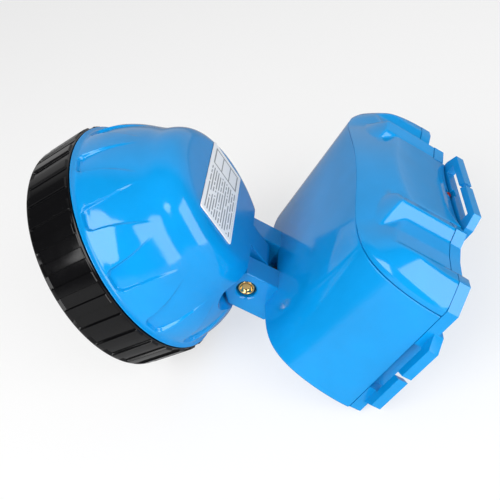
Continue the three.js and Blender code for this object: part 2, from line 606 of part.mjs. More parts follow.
// Lean the lamp back until the bezel's lowest edge and the box's rear edge are level.
const tilt = head.rotation.x;
const ringFoot = new THREE.Vector2(1 - RING.frontA, HEAD.axisZ - RING.frontRadius)
  .rotateAround(new THREE.Vector2(), tilt);
const boxFoot = new THREE.Vector2(PLATE.rearY, BOX.bottomZ);
box.rotation.x = -boxFoot.sub(ringFoot).angle();

const lamp = new THREE.Group();
lamp.add(box);
lamp.updateMatrixWorld(true);
const extent = new THREE.Box3().setFromObject(lamp, true);
const middle = extent.getCenter(new THREE.Vector3());
box.position.set(-middle.x, -middle.y, -extent.min.z);

export default lamp;
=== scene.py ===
"""Looks of the miner's cap lamp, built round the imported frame."""

import json
from math import cos, hypot, pi, radians, sin, sqrt

import bmesh
import bpy
import numpy as np
from mathutils import Matrix, Vector


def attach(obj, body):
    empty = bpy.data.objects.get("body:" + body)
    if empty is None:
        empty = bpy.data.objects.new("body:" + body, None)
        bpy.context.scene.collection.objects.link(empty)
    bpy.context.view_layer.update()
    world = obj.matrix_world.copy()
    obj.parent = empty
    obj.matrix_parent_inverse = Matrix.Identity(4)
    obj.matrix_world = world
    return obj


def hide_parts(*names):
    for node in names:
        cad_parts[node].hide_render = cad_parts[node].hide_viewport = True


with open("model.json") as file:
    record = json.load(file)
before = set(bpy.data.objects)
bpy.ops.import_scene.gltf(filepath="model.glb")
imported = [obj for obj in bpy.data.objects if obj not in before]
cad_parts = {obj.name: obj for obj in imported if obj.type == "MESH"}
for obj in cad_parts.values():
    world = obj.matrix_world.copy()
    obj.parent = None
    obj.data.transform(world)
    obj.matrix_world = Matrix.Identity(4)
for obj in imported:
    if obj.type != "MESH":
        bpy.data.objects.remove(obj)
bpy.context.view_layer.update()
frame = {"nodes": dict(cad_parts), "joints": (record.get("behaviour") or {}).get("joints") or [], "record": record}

scene = bpy.context.scene

# ------------------------------------------------------------------ local frames, in mm
MM = 0.001
X_AXIS = Vector((1, 0, 0))
joints = {j["name"]: j for j in frame["joints"]}
mounts = {m["name"]: m for m in frame["record"]["mounts"]}
HINGE = Vector(joints["head_tilt"]["pos_m"])


def local_frame(rearward):
    """Millimetres about the hinge, with +Y the given rearward direction, as a matrix to the row's metres."""
    y = Vector(rearward).normalized()
    z = X_AXIS.cross(y)
    m = Matrix((X_AXIS, y, z)).transposed().to_4x4()
    return Matrix.Translation(HINGE) @ m @ Matrix.Scale(MM, 4)


BOX = local_frame(mounts["rear_face"]["axis"])
HEAD = local_frame([-v for v in joints["bezel_turn"]["axis"]])
HEAD_AXIS_Z = 27.6  # the beam axis above the hinge, in the head's frame

# ------------------------------------------------------------------ camera
CAMERA_RIGHT = Vector((-0.0693, 0.8645, 0.4978))
CAMERA_DOWN = Vector((0.5991, 0.4351, -0.6722))
CAMERA_FORWARD = Vector((-0.7977, 0.2516, -0.5481))
CAMERA_PLACE = Vector((218.9, -71.6, 155.1))  # in the box's frame, mm

camera_data = bpy.data.cameras.new("camera")
camera = bpy.data.objects.new("camera", camera_data)
scene.collection.objects.link(camera)
turn = Matrix((CAMERA_RIGHT, -CAMERA_DOWN, -CAMERA_FORWARD)).transposed()
box_turn = BOX.to_3x3() @ Matrix.Scale(1 / MM, 3)
camera.matrix_world = Matrix.Translation(BOX @ CAMERA_PLACE) @ (box_turn @ turn).to_4x4()
camera_data.lens = 52.93
camera_data.sensor_width = 36
camera_data.shift_y = -0.002
camera_data.clip_start = 0.01
scene.camera = camera
scene.view_settings.view_transform = "Standard"


# ------------------------------------------------------------------ materials
def new_material(name, color, roughness, metallic=0.0, **sockets):
    material = bpy.data.materials.new(name)
    material.use_nodes = True
    shader = material.node_tree.nodes["Principled BSDF"]
    shader.inputs["Base Color"].default_value = (*color, 1)
    shader.inputs["Roughness"].default_value = roughness
    shader.inputs["Metallic"].default_value = metallic
    for socket, value in sockets.items():
        shader.inputs[socket.replace("_", " ")].default_value = value
    return material, shader


def node(material, kind, links=(), **settings):
    """A shader node with its settings, and links as (input, socket) pairs."""
    made = material.node_tree.nodes.new(kind)
    for key, value in settings.items():
        if key in made.bl_rna.properties:
            setattr(made, key, value)
        else:
            made.inputs[key.replace("_", " ")].default_value = value
    for name, socket in links:
        material.node_tree.links.new(socket, made.inputs[name])
    return made


def object_place(material, stretch=(1, 1, 1)):
    place = node(material, "ShaderNodeTexCoord").outputs["Object"]
    return node(material, "ShaderNodeMapping", [("Vector", place)], Scale=stretch).outputs["Vector"]


def noise(material, scale, detail=3.0, stretch=(1, 1, 1)):
    made = node(
        material,
        "ShaderNodeTexNoise",
        [("Vector", object_place(material, stretch))],
        Scale=scale,
        Detail=detail,
        Roughness=0.55,
    )
    return made.outputs["Fac"]


def to_range(material, value, low, high, out_low, out_high):
    made = node(material, "ShaderNodeMapRange", [("Value", value)])
    limits = (("From Min", low), ("From Max", high), ("To Min", out_low), ("To Max", out_high))
    for name, number in limits:
        made.inputs[name].default_value = number
    return made.outputs["Result"]


MIX_A, MIX_B, MIX_RESULT = 6, 7, 2  # the Mix node's colour sockets


def mix_color(material, factor, a, b):
    """Mixes two colours, each a plain tuple or a socket."""
    made = node(material, "ShaderNodeMix", data_type="RGBA")
    material.node_tree.links.new(factor, made.inputs["Factor"])
    for slot, value in ((MIX_A, a), (MIX_B, b)):
        if isinstance(value, tuple):
            made.inputs[slot].default_value = (*value, 1)
        else:
            material.node_tree.links.new(value, made.inputs[slot])
    return made.outputs[MIX_RESULT]


def connect(material, shader, socket, value):
    material.node_tree.links.new(value, shader.inputs[socket])


def add_bump(material, shader, height, strength, distance):
    made = node(material, "ShaderNodeBump", [("Height", height)], Strength=strength, Distance=distance)
    connect(material, shader, "Normal", made.outputs["Normal"])


def moulded_plastic(name, color, roughness, grain=0.03, specular=0.5):
    """Injection-moulded plastic: faint flow mottling in colour and gloss, and a very slight waviness."""
    material, shader = new_material(name, color, roughness, Specular_IOR_Level=specular)
    flow = noise(material, 45, 4)
    darker = tuple(c * 0.9 for c in color)
    dusty = tuple(0.5 * c + 0.25 for c in color)
    tint = mix_color(material, to_range(material, flow, 0.35, 0.65, 0, 1), darker, color)
    dust = to_range(material, noise(material, 2600, 2), 0.72, 0.8, 0, 0.22)
    connect(material, shader, "Base Color", mix_color(material, dust, tint, dusty))
    ripple = noise(material, 160, 3)
    gloss = to_range(material, ripple, 0.3, 0.7, roughness * 0.85, roughness * 1.2)
    connect(material, shader, "Roughness", gloss)
    add_bump(material, shader, noise(material, 90, 2), grain, 0.0006)
    return material


def metal(name, color, roughness, stretch=(1, 1, 1), grain=0.25):
    """Bright metal with fine scratches, long ones where the grain is stretched."""
    material, shader = new_material(name, color, roughness, 1.0)
    scratches = noise(material, 900, 3, stretch)
    gloss = to_range(material, scratches, 0.3, 0.7, roughness * 0.8, roughness * 1.3)
    connect(material, shader, "Roughness", gloss)
    dull = tuple(c * 0.82 for c in color)
    connect(material, shader, "Base Color", mix_color(material, noise(material, 120), dull, color))
    add_bump(material, shader, scratches, grain, 0.00005)
    return material


BLUE = (0.002, 0.275, 0.67)
blue = moulded_plastic("blue_plastic", BLUE, 0.1)
black = moulded_plastic("black_plastic", (0.003, 0.003, 0.0035), 0.13, specular=0.3)
soft_black = moulded_plastic("soft_black", (0.014, 0.014, 0.015), 0.55, grain=0.1)
grey = moulded_plastic("grey_plastic", (0.06, 0.062, 0.066), 0.5)
sleeve = moulded_plastic("cell_sleeve", (0.03, 0.24, 0.09), 0.3)
board_green = moulded_plastic("board_green", (0.01, 0.14, 0.045), 0.4)
board_white = moulded_plastic("board_white", (0.78, 0.79, 0.76), 0.4)
brass = metal("brass", (0.86, 0.60, 0.24), 0.13, grain=0.015)
steel = metal("steel", (0.56, 0.57, 0.58), 0.3)
aluminium = metal("aluminium", (0.72, 0.73, 0.75), 0.32, stretch=(1, 8, 8))
mirror = metal("mirror", (0.93, 0.94, 0.95), 0.035, grain=0.02)


def clear_material():
    """Clear plastic with faint smears."""
    material, shader = new_material("clear_lens", (0.97, 0.985, 0.99), 0.02, IOR=1.49)
    shader.inputs["Transmission Weight"].default_value = 1.0
    smear = noise(material, 30, 3)
    connect(material, shader, "Roughness", to_range(material, smear, 0.45, 0.75, 0.015, 0.06))
    return material


def led_red_material():
    """Tinted, partly clear red resin."""
    material, shader = new_material("led_red", (0.42, 0.012, 0.008), 0.12, IOR=1.5)
    shader.inputs["Transmission Weight"].default_value = 0.35
    core = to_range(material, noise(material, 700, 2), 0.3, 0.7, 0, 1)
    red = mix_color(material, core, (0.30, 0.006, 0.004), (0.55, 0.02, 0.012))
    connect(material, shader, "Base Color", red)
    return material


def phosphor_material():
    """The yellow grains of a white emitter under a clear coat."""
    material, shader = new_material("phosphor", (0.95, 0.72, 0.12), 0.12)
    yellow = mix_color(material, noise(material, 3500, 2), (0.85, 0.55, 0.06), (0.98, 0.82, 0.25))
    connect(material, shader, "Base Color", yellow)
    shader.inputs["Coat Weight"].default_value = 1.0
    return material


clear = clear_material()
led_red = led_red_material()
phosphor = phosphor_material()


LABEL_WHITE, LABEL_INK = (0.93, 0.93, 0.92), (0.10, 0.10, 0.11)
LABEL_ROWS, LABEL_CHUNKS = 14.0, 44.0


def label_material():
    """A white sticker with broken grey rules and three empty frames in place of print."""
    material, shader = new_material("label", LABEL_WHITE, 0.38)
    uv = node(material, "ShaderNodeUVMap", uv_map="label").outputs["UV"]
    split = node(material, "ShaderNodeSeparateXYZ", [("Vector", uv)])
    u, v = split.outputs["X"], split.outputs["Y"]

    def math(operation, a, b=0.0):
        made = node(material, "ShaderNodeMath", operation=operation)
        for slot, value in enumerate((a, b)):
            if isinstance(value, (int, float)):
                made.inputs[slot].default_value = value
            else:
                material.node_tree.links.new(value, made.inputs[slot])
        return made.outputs["Value"]

    def between(value, low, high):
        return math("MULTIPLY", math("GREATER_THAN", value, low), math("LESS_THAN", value, high))

    row = math("MULTIPLY", v, LABEL_ROWS)
    in_row = between(math("FRACT", row), 0.22, 0.62)
    chunk = node(material, "ShaderNodeTexWhiteNoise", noise_dimensions="2D")
    cell = node(material, "ShaderNodeCombineXYZ")
    material.node_tree.links.new(math("FLOOR", math("MULTIPLY", u, LABEL_CHUNKS)), cell.inputs["X"])
    material.node_tree.links.new(math("FLOOR", row), cell.inputs["Y"])
    material.node_tree.links.new(cell.outputs["Vector"], chunk.inputs["Vector"])
    block = math("GREATER_THAN", chunk.outputs["Value"], 0.16)
    field = math("MULTIPLY", between(u, 0.05, 0.66), between(v, 0.07, 0.95))
    rules = math("MULTIPLY", math("MULTIPLY", in_row, block), field)
    panel = math("MULTIPLY", between(u, 0.71, 0.95), between(v, 0.1, 0.9))
    upper_cells = math("MAXIMUM", between(v, 0.39, 0.61), between(v, 0.64, 0.865))
    cells = math("MAXIMUM", between(v, 0.135, 0.36), upper_cells)
    hollow = math("MULTIPLY", between(u, 0.725, 0.935), cells)
    frame_line = math("SUBTRACT", panel, hollow)
    ink = math("MULTIPLY", math("MAXIMUM", rules, frame_line), 0.8)
    connect(material, shader, "Base Color", mix_color(material, ink, LABEL_WHITE, LABEL_INK))
    add_bump(material, shader, noise(material, 700, 2), 0.03, 0.0002)
    return material


label = label_material()


# ------------------------------------------------------------------ mesh helpers
def mesh_object(name, vertices, faces, matrix):
    mesh = bpy.data.meshes.new(name)
    mesh.from_pydata([matrix @ Vector(v) for v in vertices], [], faces)
    bm = bmesh.new()
    bm.from_mesh(mesh)
    bmesh.ops.remove_doubles(bm, verts=bm.verts, dist=1e-7)
    bmesh.ops.dissolve_degenerate(bm, edges=bm.edges, dist=1e-7)
    bmesh.ops.recalc_face_normals(bm, faces=bm.faces)
    bm.to_mesh(mesh)
    bm.free()
    made = bpy.data.objects.new(name, mesh)
    scene.collection.objects.link(made)
    return made


def loft(rows, closed=False):
    """Vertices and faces through equal closed rows; the two ends join or get one face each."""
    count = len(rows[0])
    faces = []
    for r in range(len(rows) if closed else len(rows) - 1):
        low, high = r * count, (r + 1) % len(rows) * count
        for i in range(count):
            j = (i + 1) % count
            faces.append((low + i, low + j, high + j, high + i))
    if not closed:
        last = (len(rows) - 1) * count
        faces.append(tuple(range(count)))
        faces.append(tuple(range(last, last + count)))
    return [tuple(p) for row in rows for p in row], faces


def modify(target, tool, operation="DIFFERENCE"):
    """Cuts the tool out of target's mesh, or joins it on, and removes the tool."""
    modifier = target.modifiers.new("cut", "BOOLEAN")
    modifier.operation = operation
    modifier.object = tool
    modifier.solver = "MANIFOLD"
    graph = bpy.context.evaluated_depsgraph_get()
    result = bpy.data.meshes.new_from_object(target.evaluated_get(graph))
    target.modifiers.clear()
    old = target.data
    target.data = result
    bpy.data.meshes.remove(old)
    bpy.data.objects.remove(tool)


BEVEL_ANGLE = radians(28)


def bevel_object(target, width):
    """Rounds every sharp edge by width, in mm, in place."""
    bm = bmesh.new()
    bm.from_mesh(target.data)
    edges = [e for e in bm.edges if len(e.link_faces) == 2 and e.calc_face_angle() > BEVEL_ANGLE]
    bmesh.ops.bevel(
        bm,
        geom=edges,
        offset=width * MM,
        offset_type="OFFSET",
        segments=3,
        profile=0.5,
        affect="EDGES",
        clamp_overlap=True,
        miter_outer="ARC",
    )
    bm.to_mesh(target.data)
    bm.free()


def prism(points, axis, low, high, matrix, bevel=0.0):
    """A prism of 2D points: (y, z) along x, (x, z) along y, or (x, y) along z."""
    place = {
        "x": lambda p, h: (h, p[0], p[1]),
        "y": lambda p, h: (p[0], h, p[1]),
        "z": lambda p, h: (p[0], p[1], h),
    }[axis]
    rows = [[place(p, h) for p in points] for h in (low, high)]
    made = mesh_object("tool", *loft(rows), matrix)
    if bevel:
        bevel_object(made, bevel)
    return made


def circle(radius, centre=(0, 0), count=64, start=0.0, end=360.0):
    """Points on a circle, or on an arc between two angles in degrees."""
    full = abs(end - start) >= 360
    steps = count if full else count - 1
    angles = [radians(start + (end - start) * i / steps) for i in range(count)]
    return [(centre[0] + radius * cos(a), centre[1] + radius * sin(a)) for a in angles]


def spun(profile, matrix, axis="y", count=96, centre=(0, 0)):
    """A closed body of revolution round a line along axis, from (radius, height) points."""
    rows = []
    for r, h in profile:
        ring = circle(max(r, 1e-4), centre, count)
        if axis == "x":
            rows.append([(h, p[0], p[1]) for p in ring])
        elif axis == "y":
            rows.append([(p[0], h, p[1]) for p in ring])
        else:
            rows.append([(p[0], p[1], h) for p in ring])
    on_axis = profile[0][0] < 1e-3 and profile[-1][0] < 1e-3
    return mesh_object("tool", *loft(rows, closed=not on_axis), matrix)


def smooth_path(points, spacing):
    """A smooth curve through 2D points, resampled at about the given spacing."""
    path = []
    for i in range(len(points) - 1):
        near = [min(max(k, 0), len(points) - 1) for k in (i - 1, i, i + 1, i + 2)]
        p0, p1, p2, p3 = (Vector(points[k]) for k in near)
        steps = max(1, round((p2 - p1).length / spacing))
        for s in range(steps):
            t = s / steps
            path.append(
                0.5
                * (
                    2 * p1
                    + (p2 - p0) * t
                    + (2 * p0 - 5 * p1 + 4 * p2 - p3) * t * t
                    + (3 * p1 - p0 - 3 * p2 + p3) * t**3
                )
            )
    path.append(Vector(points[-1]))
    return path


def smoothstep(low, high, value):
    t = min(1.0, max(0.0, (value - low) / (high - low)))
    return t * t * (3 - 2 * t)


def finish_piece(piece, name, body, material, nodes, sharp=32):
    """Names and shades a piece, ties it to its body, and hides the CAD nodes it stands for."""
    piece.name = name
    piece.data.name = name
    piece.data.materials.clear()
    piece.data.materials.append(material)
    piece.data.shade_smooth()
    piece.data.set_sharp_from_angle(angle=radians(sharp))
    flat = piece.modifiers.new("flat_faces", "WEIGHTED_NORMAL")
    flat.keep_sharp = True
    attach(piece, body)
    if nodes:
        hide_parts(*nodes)
    return piece


# ------------------------------------------------------------------ lamp head
def head_spun(profile, count=128):
    """A body round the beam axis from (radius, distance along the beam) points."""
    return spun([(r, -a) for r, a in profile], HEAD, "y", count, (0, HEAD_AXIS_Z))


# (radius, distance along the beam) of the housing's outside, from its flat rear boss to its rim
HOUSING_PROFILE = [
    (22.5, -7.1), (24.4, -6.95), (26.2, -6.3), (28, -5.2), (29.7, -3.3), (31, -0.8), (32, 2), (33, 4),
    (34.3, 6), (35.7, 8), (37, 10), (38.2, 12), (39.7, 15), (40.9, 18), (41.9, 22), (42.4, 24.9),
    (42.75, 25.6), (43.4, 26.05), (43.9, 26.25),
]
PETALS = 12
# (distance along the beam, half width) of one recess
PETAL_WIDTH = [(5, 7.9), (8, 7.2), (10, 6.6), (15, 5.45), (20, 4.75), (25.3, 4.25), (30, 4.0)]
PETAL_END = 25.3
PETAL_CORNER = 2.3
PETAL_DEPTH = 1.25
PETAL_WALL = 0.8
KNUCKLE_RADIUS, KNUCKLE_X = 7.6, 6.2
HINGE_BORE = 2.2
EAR_CLEARANCE, EAR_CLEARANCE_X, SIDE_CLEARANCE, SIDE_CLEARANCE_X = 9.8, 18.1, 9.2, 32
SWITCH_CENTRE = (-19, HEAD_AXIS_Z)  # on the far side of the housing


def interpolate(table, value):
    xs, ys = zip(*table)
    return float(np.interp(value, xs, ys))


def petal_depth(offset, radius, a):
    """How deep the petal-shaped recess is cut at an angle off its centre line."""
    side = interpolate(PETAL_WIDTH, a) - abs(offset) * radius
    end = PETAL_END - a
    inside = min(side, end)
    if side < PETAL_CORNER and end < PETAL_CORNER:
        inside = PETAL_CORNER - hypot(PETAL_CORNER - side, PETAL_CORNER - end)
    depth = PETAL_DEPTH * min(1.0, max(0.0, (a - 6.5) / 17)) ** 0.9
    return depth * smoothstep(0, PETAL_WALL, inside)


PITCH = 2 * pi / PETALS
FLOOR_STEPS, WALL_STEPS, LAND_STEPS = 10, 7, 6


def petal_columns(radius, a):
    """Angles off a petal's centre line, crowded onto its two side walls."""
    edge = min(interpolate(PETAL_WIDTH, a) / radius, 0.46 * PITCH)
    wall = edge - PETAL_WALL / radius
    half = [wall * (1 - (1 - k / FLOOR_STEPS) ** 1.5) for k in range(FLOOR_STEPS)]
    half += [wall + (edge - wall) * k / WALL_STEPS for k in range(WALL_STEPS)]
    half += [edge + (PITCH / 2 - edge) * k / LAND_STEPS for k in range(LAND_STEPS)]
    return [-PITCH / 2] + [-h for h in reversed(half[1:])] + half


BOSS_A = -7.1  # the flat rear boss, along the beam
RIM = HOUSING_PROFILE[-1]
# the rim, the neck that the ring sits on, and the inside, as (radius, distance along the beam)
HOUSING_INSIDE = [
    (44.0, 26.4), (43.95, 26.55), (43.8, 26.6), (40.3, 26.6), (40.3, 37.7), (40.0, 38), (38.2, 38),
    (38, 37.8), (38, 26), (36, 19), (33, 13.4), (17, 13.4), (17, -4.4), (0.01, -4.4),
]


def housing_path():
    """The outside profile with close rows where the petals end and wider ones elsewhere."""
    path = []
    for radius, a in smooth_path(HOUSING_PROFILE, 0.2):
        spacing = 0.19 if 22.4 < a < 25.8 else 0.5
        if not path or hypot(radius - path[-1][0], a - path[-1][1]) > spacing:
            path.append(Vector((radius, a)))
    path.append(Vector(HOUSING_PROFILE[-1]))
    return path


def petal_angles(radius, a):
    """Pairs of the angle round the housing and the angle off the nearest petal's centre line."""
    columns = petal_columns(radius, a)
    return [((petal + 0.5) * PITCH + offset, offset) for petal in range(PETALS) for offset in columns]


def make_housing():
    def ring(radius, a, like):
        return [(radius * cos(t), -a, HEAD_AXIS_Z + radius * sin(t)) for t, _ in petal_angles(*like)]

    rows = [ring(radius, BOSS_A, (22.5, BOSS_A)) for radius in (0.01, 6, 12, 17, 20)]
    path = housing_path()
    for i, (radius, a) in enumerate(path):
        before, after = path[max(0, i - 1)], path[min(len(path) - 1, i + 1)]
        along = (after - before).normalized()
        row = []
        for angle, offset in petal_angles(radius, a):
            depth = petal_depth(offset, radius, a) if a > 5 else 0.0
            r = radius - depth * along.y
            row.append((r * cos(angle), -(a + depth * along.x), HEAD_AXIS_Z + r * sin(angle)))
        rows.append(row)
    rows += [ring(radius, a, RIM) for radius, a in HOUSING_INSIDE]
    housing = mesh_object("housing", *loft(rows), HEAD)

    for clear, low, high in (
        (EAR_CLEARANCE, KNUCKLE_X, EAR_CLEARANCE_X),
        (EAR_CLEARANCE, -EAR_CLEARANCE_X, -KNUCKLE_X),
        (SIDE_CLEARANCE, EAR_CLEARANCE_X - 0.1, SIDE_CLEARANCE_X),
        (SIDE_CLEARANCE, -SIDE_CLEARANCE_X, 0.1 - EAR_CLEARANCE_X),
    ):
        notch = [(30, clear), *circle(clear, count=40, start=90, end=180), (-clear, -40), (30, -40)]
        modify(housing, prism(notch, "x", low, high, HEAD))
    knuckle = circle(KNUCKLE_RADIUS, count=40, start=180, end=360)
    knuckle += [(6.9, 12), (5.6, 14), (4.7, 10.1), (-KNUCKLE_RADIUS, 9)]
    modify(housing, prism(knuckle, "x", -KNUCKLE_X, KNUCKLE_X, HEAD, 0.45), "UNION")
    modify(housing, prism(circle(HINGE_BORE), "x", -20, 20, HEAD))
    lead_slot = [(-5.5, -12), (12, -12), (12, -3.6), (-5.5, -3.6)]
    modify(housing, prism(lead_slot, "x", -1.6, 1.6, HEAD))
    for radius, low in ((5.5, -30), (7.9, -39.3)):  # the switch's bore and its collar's seat
        modify(housing, prism(circle(radius, SWITCH_CENTRE), "x", -47, low, HEAD))
    return finish_piece(housing, "housing", "lamp_head", blue, ["head_housing"], 30)


RIBS = 33
RIB_FIRST = 79.7  # degrees round the ring from its top
RIB_HALF = 2.5
RIB_DROP = 0.8
RIB_EDGE = 0.42  # degrees over which a groove's wall falls
RING_PROFILE = [
    # radius, distance along the beam, how much of the groove depth shows
    (40.8, 26.9, 0), (44.1, 26.9, 0), (44.25, 27.0, 0), (44.3, 27.2, 0), (44.3, 27.6, 0), (44.8, 27.9, 1),
    (44.95, 28.2, 1), (44.55, 36, 1), (44.12, 43.9, 1), (44.0, 44.5, 1), (43.94, 44.9, 0.5), (43.86, 45.2, 0),
    (43.72, 45.5, 0), (43.5, 45.78, 0), (43.2, 45.94, 0), (42.8, 46, 0), (39.4, 46, 0),
    (38.9, 45.9, 0), (38.5, 45.5, 0), (37.75, 43.9, 0), (37.6, 43.5, 0), (37.8, 43.3, 0), (40.6, 43.3, 0),
    (40.8, 43.1, 0), (40.8, 35, 0),
]


def make_ring():
    pitch = 360 / RIBS
    steps = []
    for i in range(RIBS):
        centre = RIB_FIRST + i * pitch
        for offset in (-2.0, -1.0, 0, 1.0, 2.0):
            steps.append((centre + offset, 0.0))
        for k in range(5):
            steps.append((centre + RIB_HALF - RIB_EDGE / 2 + RIB_EDGE * k / 4, smoothstep(0, 4, k)))
        for k in range(1, 6):
            across = (pitch - 2 * RIB_HALF - RIB_EDGE) * k / 6
            steps.append((centre + RIB_HALF + RIB_EDGE / 2 + across, 1.0))
        for k in range(5):
            rise = centre + pitch - RIB_HALF - RIB_EDGE / 2 + RIB_EDGE * k / 4
            steps.append((rise, 1 - smoothstep(0, 4, k)))
    rows = []
    for radius, a, share in RING_PROFILE:
        row = []
        for degrees, drop in steps:
            r = radius - RIB_DROP * drop * share
            row.append((r * sin(radians(degrees)), -a, HEAD_AXIS_Z + r * cos(radians(degrees))))
        rows.append(row)
    ring = mesh_object("ring", *loft(rows, closed=True), HEAD)
    return finish_piece(ring, "bezel", "bezel", black, ["bezel_ring"], 38)


DISH_FOCUS, DISH_START, DISH_WALL = 47.1, 9.74, 1.1
DOME_RADIUS, DOME_HEIGHT, DOME_A = 2.6, 2.4, 10.5


def make_optics():
    """The reflector, the emitter's dome, the front glass and the emitter's board."""
    inside = [(sqrt(DISH_FOCUS * (a - DISH_START)), a) for a in np.linspace(10.75, 38.3, 60)]
    outside = [(r + DISH_WALL, a) for r, a in reversed(inside[:-2])]
    profile = inside + [(37.1, 38.9), (40, 38.9), (40, 38.35), (38.6, 38.2)] + outside
    reflector = head_spun(profile, 160)
    finish_piece(reflector, "reflector_dish", "lamp_head", mirror, ["reflector"], 40)

    dome = [(0.001, 9.6), (3.3, 9.6), (3.4, 9.7), (3.4, 10.3), (3.25, 10.45), (DOME_RADIUS, DOME_A)]
    for t in np.linspace(0.05, pi / 2 - 0.03, 16):
        dome.append((DOME_RADIUS * cos(t), DOME_A + DOME_HEIGHT * sin(t)))
    dome.append((0.001, DOME_A + DOME_HEIGHT))
    emitter = head_spun(dome, 64)
    finish_piece(emitter, "emitter_dome", "lamp_head", phosphor, ["led_emitter"])

    glass = [(0.001, 40.9), (40.0, 40.9), (40.2, 41.1), (40.2, 42.5), (40.0, 42.75), (37, 42.9)]
    glass += [(r, 43.2 - 0.3 * (r / 37) ** 2) for r in (28, 18, 8)] + [(0.001, 43.2)]
    finish_piece(head_spun(glass, 160), "front_glass", "lamp_head", clear, ["lens"], 30)

    disc = [(0.001, 7.7), (9.3, 7.7), (9.5, 7.9), (9.5, 9.1), (9.3, 9.3), (0.001, 9.3)]
    board = head_spun(disc, 64)
    finish_piece(board, "emitter_board", "lamp_head", board_white, ["led_board"], 30)


LABEL_SIZE = (42.8, 18.4)
LABEL_CENTRE = 31.2
LABEL_CORNER = 1.0
LABEL_LAYERS = (7.25, 7.48, 7.56)  # behind the boss, the upper edge slightly pulled in


def make_label():
    width, height = LABEL_SIZE
    outline = []
    for cx, cz, start in ((1, 1, 0), (-1, 1, 90), (-1, -1, 180), (1, -1, 270)):
        centre = (cx * (width / 2 - LABEL_CORNER), LABEL_CENTRE + cz * (height / 2 - LABEL_CORNER))
        outline += circle(LABEL_CORNER, centre, 8, start, start + 90)
    inner = [(x * 0.996, LABEL_CENTRE + (z - LABEL_CENTRE) * 0.99) for x, z in outline]
    rows = [[(x, y, z) for x, z in shape] for y, shape in zip(LABEL_LAYERS, (outline, outline, inner))]
    sticker = mesh_object("sticker", *loft(rows), HEAD)
    uv = sticker.data.uv_layers.new(name="label")
    back = HEAD.inverted()
    for loop in sticker.data.loops:
        p = back @ sticker.data.vertices[loop.vertex_index].co
        uv.data[loop.index].uv = (0.5 - p.x / width, 0.5 - (p.z - LABEL_CENTRE) / height)
    finish_piece(sticker, "sticker", "lamp_head", label, ["rear_label"], 25)


def make_switch():
    """Side push button: a rounded collar round a soft cap with a shallow dish."""
    collar = [
        (5.5, -39.6), (7.4, -39.6), (7.6, -39.8), (7.6, -41.6), (7.5, -41.85),
        (7.2, -42.05), (6.6, -42.1), (6.0, -42.05), (5.65, -41.8), (5.5, -41.4),
    ]
    rim = spun(collar, HEAD, "x", 96, SWITCH_CENTRE)
    finish_piece(rim, "switch_rim", "lamp_head", black, ["switch_collar"])
    cap = [
        (0.001, -33.9), (3, -33.9), (3, -36.8), (5.2, -36.8), (5.2, -41.6), (5.1, -42.1), (4.8, -42.5),
        (4.3, -42.8), (3.7, -42.95), (3.3, -42.98), (2.9, -42.9), (2.5, -42.7), (1.8, -42.5), (0.9, -42.4),
        (0.001, -42.38),
    ]
    boot = spun(cap, HEAD, "x", 96, SWITCH_CENTRE)
    finish_piece(boot, "button_cap", "button", soft_black, ["switch_button"])


# ------------------------------------------------------------------ battery box
HALF_WIDTH, FRONT_Y, REAR_Y = 55.0, 9.1, 39.7
SIDE_EXPONENT, NOSE_EXPONENT = 6.24, 1.72
SEAM_Z, SEAM_RISE, SEAM_HALF = 51.3, 5.0, 52.0
BOTTOM_Z, BOTTOM_DROP = 3.2, 7.0
GAP = 0.3


def footprint(inset, rear_y=REAR_Y, steps=90, rear_steps=20):
    """The box's D outline as a closed loop of (x, y) points, pulled in by inset."""
    width = HALF_WIDTH - inset
    depth = REAR_Y - FRONT_Y - inset
    half = []
    for i in range(steps + 1):
        angle = pi / 2 * (i / steps) ** 2.2
        x = width * sin(angle) ** (2 / SIDE_EXPONENT)
        y = rear_y - (depth - (REAR_Y - rear_y)) * max(0.0, cos(angle)) ** (2 / NOSE_EXPONENT)
        half.append((x, y))
    left = [(-x, y) for x, y in reversed(half[1:])]
    rear = [(width * (1 - 2 * k / rear_steps), rear_y) for k in range(1, rear_steps)]
    return left + half + rear


def seam_height(x):
    return SEAM_Z + SEAM_RISE * cos(pi / 2 * min(1.0, abs(x) / SEAM_HALF)) ** 2


def bottom_height(x, y):
    share = max(0.0, (REAR_Y - y) / (REAR_Y - FRONT_Y))
    return BOTTOM_Z - BOTTOM_DROP * (1 - (x / HALF_WIDTH) ** 2) * share


def shrunk(points, share):
    return [(x * share, 33 + (y - 33) * share) for x, y in points]


SHELL_EDGE, SHELL_LIP, SHELL_WALL = 1.1, 0.35, 2.2
EAR_RADIUS, EAR_INNER, EAR_OUTER = 7.8, 7.2, 17.6
LEAD_HOLE_X = 6.9
LEAD_HOLE = [(6, -1.8), (14, -1.8), (14, 5.4), (6, 5.4)]  # (y, z)
SOCKET_PLACE, SOCKET_BORE = (-38.2, 26), 3.7
NUT_SEAT = 3.6


